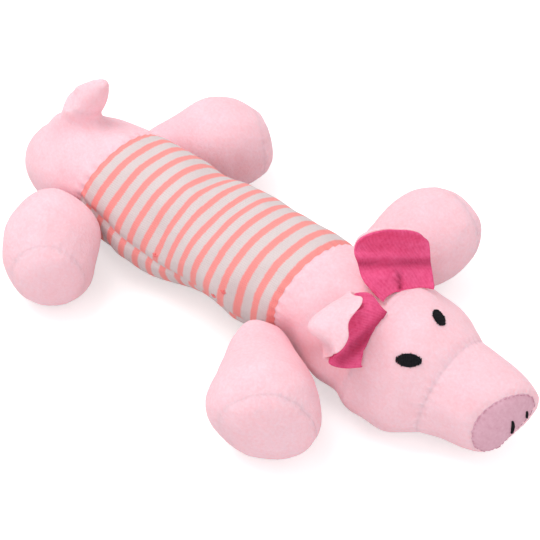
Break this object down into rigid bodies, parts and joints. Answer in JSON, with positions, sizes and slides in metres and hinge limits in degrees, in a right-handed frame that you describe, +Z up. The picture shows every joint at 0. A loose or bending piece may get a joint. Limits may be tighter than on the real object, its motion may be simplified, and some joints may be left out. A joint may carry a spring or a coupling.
{
  "type": "squeaky dog toy",
  "caption": "Stuffed pig lying on its belly with splayed legs, a striped knit body and fleece-lined ears, with a squeaker inside that sounds when the body is bitten.",
  "frame": {"origin": "on the floor, at the middle of the flat that the belly rests on, under the middle of the striped body", "axes": "+X to the snout, +Y to the pig's left, +Z up"},
  "size_m": [0.2412, 0.1493, 0.0681],
  "materials": {
    "pink_plush": "short pile plush, soft and matte with a pale sheen",
    "striped_knit": "jersey knit striped in coral and grey white",
    "magenta_fleece": "ribbed fleece, matte",
    "mauve_fleece": "fleece, matte",
    "black_thread": "satin stitch",
    "fibre_fill": "loose polyester fibre",
    "squeaker_plastic": "soft moulded plastic",
    "whistle_plastic": "hard moulded plastic",
    "reed_film": "thin plastic film"
  },
  "bodies": {
    "torso": {"rump_cover": "pink_plush", "back_panel": "striped_knit", "belly_panel": "striped_knit", "neck_cover": "pink_plush", "rear_filling": "fibre_fill", "front_filling": "fibre_fill", "squeaker_base": "squeaker_plastic", "squeaker_bellows": "squeaker_plastic", "whistle_tube": "whistle_plastic", "reed_clip": "whistle_plastic", "whistle_reed": "reed_film"},
    "crown": {"squeaker_crown": "squeaker_plastic"},
    "head": {"head_cover": "pink_plush", "muzzle_cover": "pink_plush", "snout_pad": "mauve_fleece", "head_filling": "fibre_fill", "left_eye": "black_thread", "right_eye": "black_thread", "left_nostril": "black_thread", "right_nostril": "black_thread"},
    "left_ear": {"left_ear_back": "pink_plush", "left_ear_lining": "magenta_fleece"},
    "right_ear": {"right_ear_back": "pink_plush", "right_ear_lining": "magenta_fleece"},
    "front_left_leg": {"front_left_leg_cover": "pink_plush", "front_left_sole": "pink_plush", "front_left_leg_filling": "fibre_fill"},
    "front_right_leg": {"front_right_leg_cover": "pink_plush", "front_right_sole": "pink_plush", "front_right_leg_filling": "fibre_fill"},
    "rear_left_leg": {"rear_left_leg_cover": "pink_plush", "rear_left_sole": "pink_plush", "rear_left_leg_filling": "fibre_fill"},
    "rear_right_leg": {"rear_right_leg_cover": "pink_plush", "rear_right_sole": "pink_plush", "rear_right_leg_filling": "fibre_fill"},
    "tail": {"tail_cover": "pink_plush", "tail_filling": "fibre_fill"}
  },
  "joints": [
    {"name": "squeeze", "type": "slide", "parent": "torso", "child": "crown", "axis": [0, 0, -1], "range_m": [0, 0.008], "stiffness_N_per_m": 250, "deforming": ["squeaker_bellows"]},
    {"name": "head_nod", "type": "hinge", "parent": "torso", "child": "head", "pos_m": [0.071, 0, 0.0247], "axis": [0, 1, 0], "range_deg": [-15, 15], "stiffness_Nm_per_rad": 0.3},
    {"name": "left_ear_flap", "type": "hinge", "parent": "head", "child": "left_ear", "pos_m": [0.08816, 0.00445, 0.04797], "axis": [0.4128, 0.8975, -0.1553], "range_deg": [-6, 18], "stiffness_Nm_per_rad": 0.012},
    {"name": "right_ear_flap", "type": "hinge", "parent": "head", "child": "right_ear", "pos_m": [0.08766, -0.01794, 0.04071], "axis": [-0.0908, 0.7123, 0.6959], "range_deg": [-6, 18], "stiffness_Nm_per_rad": 0.012},
    {"name": "front_left_leg_flop", "type": "hinge", "parent": "torso", "child": "front_left_leg", "pos_m": [0.05, 0.0322, 0.0198], "axis": [1, 0, 0], "range_deg": [-40, 12], "stiffness_Nm_per_rad": 0.06},
    {"name": "front_right_leg_flop", "type": "hinge", "parent": "torso", "child": "front_right_leg", "pos_m": [0.05, -0.0322, 0.0198], "axis": [-1, 0, 0], "range_deg": [-40, 12], "stiffness_Nm_per_rad": 0.06},
    {"name": "rear_left_leg_flop", "type": "hinge", "parent": "torso", "child": "rear_left_leg", "pos_m": [-0.058, 0.03195, 0.0198], "axis": [1, 0, 0], "range_deg": [-40, 12], "stiffness_Nm_per_rad": 0.06},
    {"name": "rear_right_leg_flop", "type": "hinge", "parent": "torso", "child": "rear_right_leg", "pos_m": [-0.058, -0.03195, 0.0198], "axis": [-1, 0, 0], "range_deg": [-40, 12], "stiffness_Nm_per_rad": 0.06},
    {"name": "tail_wag", "type": "hinge", "parent": "torso", "child": "tail", "pos_m": [-0.074, 0, 0.04812], "axis": [1, 0, 0], "range_deg": [-25, 25], "stiffness_Nm_per_rad": 0.012}
  ]
}
